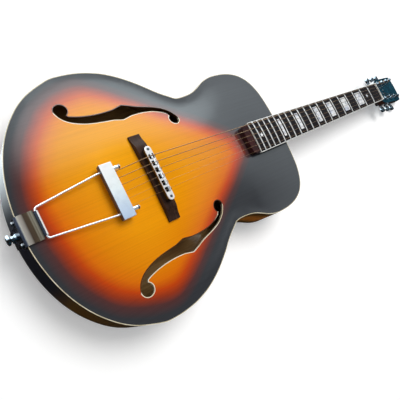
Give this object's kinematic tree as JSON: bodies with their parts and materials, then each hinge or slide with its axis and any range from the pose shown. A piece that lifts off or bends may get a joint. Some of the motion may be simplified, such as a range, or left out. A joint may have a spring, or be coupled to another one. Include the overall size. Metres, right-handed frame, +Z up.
{
  "type": "archtop guitar",
  "caption": "Hollow six-string guitar with arched plates, sound holes, adjustable bridge, trapeze tailpiece and geared tuners",
  "frame": {"origin": "under the middle of the whole length, on the surface that the crown of the back rests on", "axes": "+X to the headstock, +Y to the bass side, +Z up out of the arched top"},
  "size_m": [1.0159, 0.38, 0.124],
  "materials": {
    "sunburst_top": "gloss lacquer, sunburst",
    "dark_maple": "gloss lacquer, dark",
    "neck_wood": "gloss lacquer, dark",
    "inner_wood": "bare",
    "rosewood": "oiled",
    "cream_binding": "polished",
    "pearl": "pearl",
    "bone": "satin",
    "dark_gloss": "gloss",
    "fret_wire": "polished",
    "steel": "bright",
    "bronze": "bright",
    "nickel": "polished"
  },
  "bodies": {
    "guitar": {"top_plate": "sunburst_top", "back_plate": "dark_maple", "bass_rib": "dark_maple", "treble_rib": "dark_maple", "neck": "neck_wood", "neck_block": "inner_wood", "tail_block": "inner_wood", "kerfed_linings": "inner_wood", "tone_bars": "inner_wood", "fingerboard": "rosewood", "bridge_base": "rosewood", "fingerboard_support": "rosewood", "top_binding": "cream_binding", "f_hole_bindings": "cream_binding", "fingerboard_binding": "cream_binding", "fret_markers": "pearl", "nut": "bone", "headstock_veneer": "dark_gloss", "truss_rod_cover": "dark_gloss", "frets": "fret_wire", "plain_strings": "steel", "truss_rod": "steel", "truss_cover_screws": "steel", "tail_screws": "steel", "strap_button_screw": "steel", "tuner_screws": "steel", "bridge_posts": "steel", "wound_strings": "bronze", "truss_rod_nut": "bronze", "tail_bracket": "nickel", "trapeze_wire": "nickel", "tailpiece_bar": "nickel", "trapeze_nuts": "nickel", "strap_button": "nickel", "tuner_housings": "nickel", "tuner_bushings": "nickel"},
    "bridge": {"bridge_body": "nickel", "saddle_screws": "steel"},
    "thumbwheel_bass": {"thumbwheel_bass": "nickel"},
    "thumbwheel_treble": {"thumbwheel_treble": "nickel"},
    "saddle_1": {"saddle_1": "nickel"},
    "tuner_key_1": {"tuner_key_1": "nickel"},
    "tuner_post_1": {"tuner_post_1": "nickel"},
    "saddle_2": {"saddle_2": "nickel"},
    "tuner_key_2": {"tuner_key_2": "nickel"},
    "tuner_post_2": {"tuner_post_2": "nickel"},
    "saddle_3": {"saddle_3": "nickel"},
    "tuner_key_3": {"tuner_key_3": "nickel"},
    "tuner_post_3": {"tuner_post_3": "nickel"},
    "saddle_4": {"saddle_4": "nickel"},
    "tuner_key_4": {"tuner_key_4": "nickel"},
    "tuner_post_4": {"tuner_post_4": "nickel"},
    "saddle_5": {"saddle_5": "nickel"},
    "tuner_key_5": {"tuner_key_5": "nickel"},
    "tuner_post_5": {"tuner_post_5": "nickel"},
    "saddle_6": {"saddle_6": "nickel"},
    "tuner_key_6": {"tuner_key_6": "nickel"},
    "tuner_post_6": {"tuner_post_6": "nickel"}
  },
  "joints": [
    {"name": "bridge_height", "type": "slide", "parent": "guitar", "child": "bridge", "axis": [0, 0, 1], "range_m": [-0.003, 0]},
    {"name": "thumbwheel_bass_turn", "type": "hinge", "parent": "bridge", "child": "thumbwheel_bass", "pos_m": [-0.29948, 0.037, 0.1096], "axis": [0, 0, 1], "range_deg": [-1543.9, 0]},
    {"name": "thumbwheel_treble_turn", "type": "hinge", "parent": "bridge", "child": "thumbwheel_treble", "pos_m": [-0.29948, -0.037, 0.1096], "axis": [0, 0, 1], "range_deg": [-1543.9, 0]},
    {"name": "saddle_1_slide", "type": "slide", "parent": "bridge", "child": "saddle_1", "axis": [1, 0, 0], "range_m": [0, 0.00304]},
    {"name": "saddle_2_slide", "type": "slide", "parent": "bridge", "child": "saddle_2", "axis": [1, 0, 0], "range_m": [0, 0.00219]},
    {"name": "saddle_3_slide", "type": "slide", "parent": "bridge", "child": "saddle_3", "axis": [1, 0, 0], "range_m": [0, 0.00136]},
    {"name": "saddle_4_slide", "type": "slide", "parent": "bridge", "child": "saddle_4", "axis": [1, 0, 0], "range_m": [0, 0.00236]},
    {"name": "saddle_5_slide", "type": "slide", "parent": "bridge", "child": "saddle_5", "axis": [1, 0, 0], "range_m": [0, 0.00159]},
    {"name": "saddle_6_slide", "type": "slide", "parent": "bridge", "child": "saddle_6", "axis": [1, 0, 0], "range_m": [0, 0.00085]},
    {"name": "tuner_key_1_turn", "type": "hinge", "parent": "guitar", "child": "tuner_key_1", "pos_m": [0.3867, 0.019, 0.03161], "axis": [0, 1, 0], "continuous": true},
    {"name": "tuner_post_1_turn", "type": "hinge", "parent": "guitar", "child": "tuner_post_1", "pos_m": [0.3856, 0.019, 0.05255], "axis": [0.2939, 0, 0.9558], "continuous": true},
    {"name": "tuner_key_2_turn", "type": "hinge", "parent": "guitar", "child": "tuner_key_2", "pos_m": [0.42493, 0.0205, 0.01985], "axis": [0, 1, 0], "continuous": true},
    {"name": "tuner_post_2_turn", "type": "hinge", "parent": "guitar", "child": "tuner_post_2", "pos_m": [0.42384, 0.0205, 0.0408], "axis": [0.2939, 0, 0.9558], "continuous": true},
    {"name": "tuner_key_3_turn", "type": "hinge", "parent": "guitar", "child": "tuner_key_3", "pos_m": [0.46316, 0.022, 0.00809], "axis": [0, 1, 0], "continuous": true},
    {"name": "tuner_post_3_turn", "type": "hinge", "parent": "guitar", "child": "tuner_post_3", "pos_m": [0.46207, 0.022, 0.02904], "axis": [0.2939, 0, 0.9558], "continuous": true},
    {"name": "tuner_key_4_turn", "type": "hinge", "parent": "guitar", "child": "tuner_key_4", "pos_m": [0.46316, -0.022, 0.00809], "axis": [0, -1, 0], "continuous": true},
    {"name": "tuner_post_4_turn", "type": "hinge", "parent": "guitar", "child": "tuner_post_4", "pos_m": [0.46207, -0.022, 0.02904], "axis": [0.2939, 0, 0.9558], "continuous": true},
    {"name": "tuner_key_5_turn", "type": "hinge", "parent": "guitar", "child": "tuner_key_5", "pos_m": [0.42493, -0.0205, 0.01985], "axis": [0, -1, 0], "continuous": true},
    {"name": "tuner_post_5_turn", "type": "hinge", "parent": "guitar", "child": "tuner_post_5", "pos_m": [0.42384, -0.0205, 0.0408], "axis": [0.2939, 0, 0.9558], "continuous": true},
    {"name": "tuner_key_6_turn", "type": "hinge", "parent": "guitar", "child": "tuner_key_6", "pos_m": [0.3867, -0.019, 0.03161], "axis": [0, -1, 0], "continuous": true},
    {"name": "tuner_post_6_turn", "type": "hinge", "parent": "guitar", "child": "tuner_post_6", "pos_m": [0.3856, -0.019, 0.05255], "axis": [0.2939, 0, 0.9558], "continuous": true}
  ],
  "couplings": [
    {"joint": "thumbwheel_bass_turn", "follows": "bridge_height", "rad_per_m": 8976},
    {"joint": "thumbwheel_treble_turn", "follows": "bridge_height", "rad_per_m": 8976},
    {"joint": "tuner_post_1_turn", "follows": "tuner_key_1_turn", "ratio": 0.066667},
    {"joint": "tuner_post_2_turn", "follows": "tuner_key_2_turn", "ratio": 0.066667},
    {"joint": "tuner_post_3_turn", "follows": "tuner_key_3_turn", "ratio": 0.066667},
    {"joint": "tuner_post_4_turn", "follows": "tuner_key_4_turn", "ratio": -0.066667},
    {"joint": "tuner_post_5_turn", "follows": "tuner_key_5_turn", "ratio": -0.066667},
    {"joint": "tuner_post_6_turn", "follows": "tuner_key_6_turn", "ratio": -0.066667}
  ]
}
